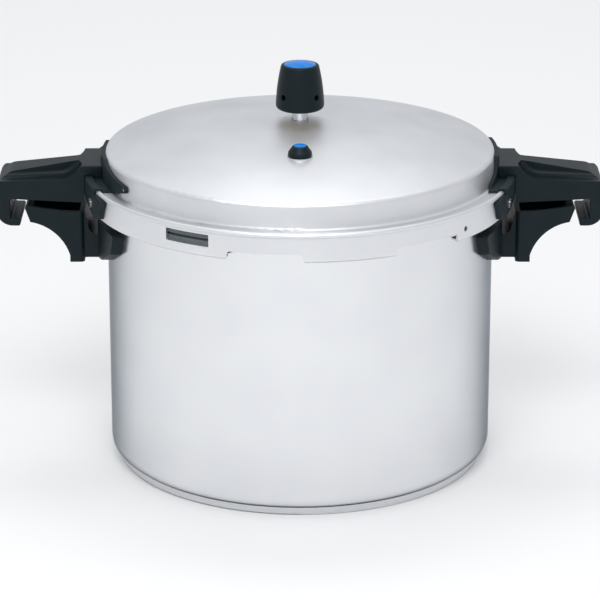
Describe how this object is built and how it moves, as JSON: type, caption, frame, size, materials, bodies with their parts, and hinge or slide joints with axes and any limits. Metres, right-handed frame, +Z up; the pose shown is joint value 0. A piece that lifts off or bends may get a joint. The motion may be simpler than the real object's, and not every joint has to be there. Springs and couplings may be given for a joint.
{
  "type": "pressure canner",
  "caption": "Tall round aluminium pressure canner with two side handles, a bayonet lid that turns to lock, a weighted regulator and a pop-up safety valve.",
  "frame": {"origin": "bottom centre of the base plate, on the surface the canner stands on", "axes": "+Z up, -Y towards the front (the safety valve's side), X along the line of the two handles"},
  "size_m": [0.419, 0.2958, 0.2831],
  "materials": {
    "polished_aluminium": "polished",
    "brushed_base": "fine turned rings",
    "rivet_aluminium": "satin",
    "bright_steel": "bright turned",
    "black_phenolic": "satin moulded",
    "textured_black": "fine grained matt",
    "black_fastener": "black satin",
    "blue_plastic": "gloss",
    "silicone": "matt silicone",
    "weight_brass": "turned"
  },
  "bodies": {
    "pot": {"pot_body": "polished_aluminium", "base_plate": "brushed_base", "pot_handle_left": "black_phenolic", "pot_handle_right": "black_phenolic", "pot_bracket_left": "bright_steel", "pot_bracket_right": "bright_steel", "pot_rivets": "rivet_aluminium", "pot_handle_screws": "bright_steel", "pot_handle_washers": "bright_steel"},
    "lid": {"lid_shell": "polished_aluminium", "gasket": "silicone", "lid_saddle_left": "textured_black", "lid_saddle_right": "textured_black", "lid_grip_left": "black_phenolic", "lid_grip_right": "black_phenolic", "lid_rivets": "rivet_aluminium", "wing_rivets": "black_fastener", "grip_screws": "bright_steel", "vent_pipe": "bright_steel", "vent_seal": "silicone", "vent_nut": "bright_steel", "vent_guard": "bright_steel", "safety_valve_body": "black_phenolic", "safety_valve_seal": "silicone", "safety_valve_nut": "bright_steel", "safety_spring": "bright_steel"},
    "regulator_pivot": {"regulator_needle": "bright_steel"},
    "regulator": {"regulator_weight": "weight_brass", "regulator_shell": "black_phenolic", "regulator_disc": "blue_plastic"},
    "safety_pin": {"safety_pin": "bright_steel", "safety_button": "blue_plastic", "safety_clip": "bright_steel"}
  },
  "joints": [
    {"name": "lid_turn", "type": "hinge", "parent": "pot", "child": "lid", "pos_m": [0, 0, 0.19], "axis": [0, 0, 1], "range_deg": [0, 22.5]},
    {"name": "regulator_lift", "type": "slide", "parent": "lid", "child": "regulator_pivot", "axis": [0, 0, 1], "range_m": [0, 0.014]},
    {"name": "regulator_spin", "type": "hinge", "parent": "regulator_pivot", "child": "regulator", "pos_m": [0, 0, 0.265], "axis": [0, 0, 1], "continuous": true},
    {"name": "safety_pin_rise", "type": "slide", "parent": "lid", "child": "safety_pin", "axis": [0, 0, 1], "range_m": [0, 0.003], "stiffness_N_per_m": 300, "springref_m": -0.003, "deforming": ["safety_spring"]}
  ]
}
